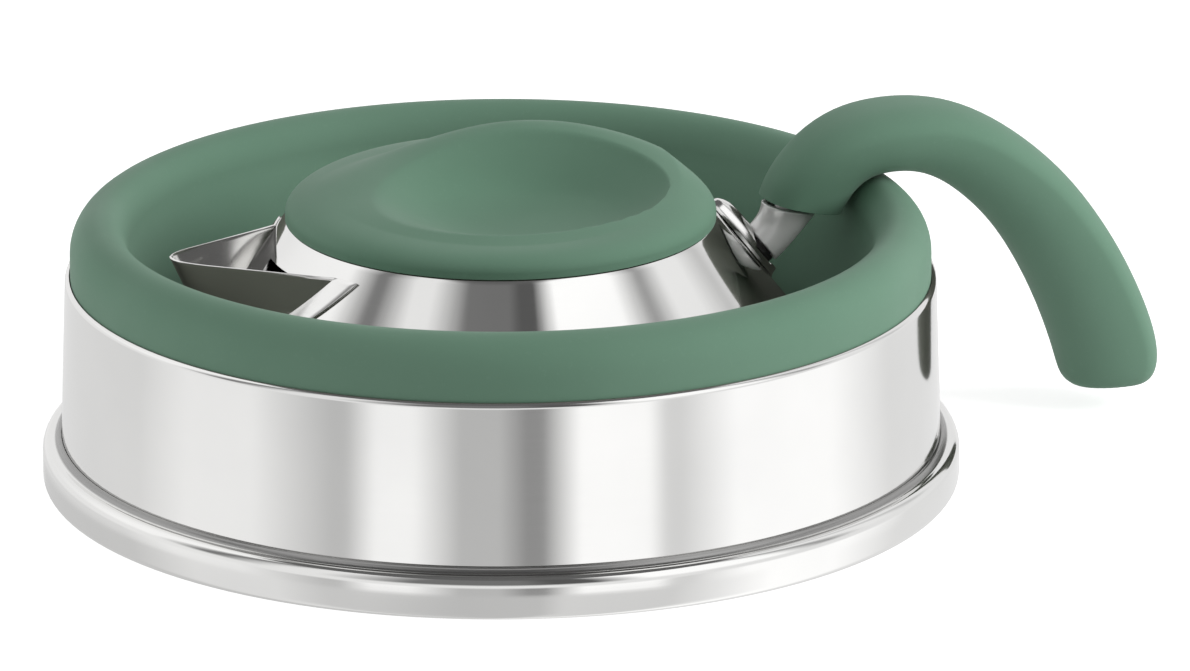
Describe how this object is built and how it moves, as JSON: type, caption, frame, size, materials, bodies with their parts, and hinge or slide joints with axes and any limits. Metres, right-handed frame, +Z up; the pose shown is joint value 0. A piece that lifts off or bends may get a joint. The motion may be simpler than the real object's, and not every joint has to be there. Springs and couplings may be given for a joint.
{
  "type": "collapsible kettle",
  "caption": "Camping kettle that folds flat: steel pan base, folding silicone wall, steel dome with V spout and hooked grip, and a lift-off lid with a finger recess.",
  "frame": {"origin": "centre of the flat underside of the base, on the surface the kettle stands on", "axes": "+X towards the handle, -X towards the spout, +Z up"},
  "size_m": [0.2726, 0.215, 0.0811],
  "materials": {
    "steel_polished": "polished stainless steel",
    "steel_body": "fine polished stainless steel",
    "steel_inner": "satin stainless steel",
    "aluminium": "plain",
    "silicone_green": "matt silicone",
    "seal": "translucent silicone",
    "fibre": "matt",
    "nylon": "moulded"
  },
  "bodies": {
    "base": {"base_cap": "steel_body", "heat_spreader": "aluminium", "pan": "steel_body", "rim_ring": "steel_inner", "silicone_wall": "silicone_green"},
    "top": {"dome": "steel_polished", "dome_ring": "steel_inner", "spout": "steel_polished", "handle_bracket": "steel_polished", "handle_washer": "fibre", "sealing_washer": "seal", "handle_screw": "steel_inner", "handle_collar": "steel_polished", "handle_tang": "steel_inner", "handle_grip": "silicone_green"},
    "lid": {"lid_plate": "steel_inner", "lid_core": "nylon", "lid_cover": "silicone_green", "lid_seal": "seal", "lid_screw_1": "steel_inner", "lid_screw_2": "steel_inner", "lid_screw_3": "steel_inner"}
  },
  "joints": [
    {"name": "wall_extend", "type": "slide", "parent": "base", "child": "top", "axis": [0, 0, 1], "range_m": [0, 0.07], "deforming": ["silicone_wall"]},
    {"name": "lid_lift", "type": "slide", "parent": "top", "child": "lid", "axis": [0, 0, 1], "range_m": [0, 0.08]}
  ]
}
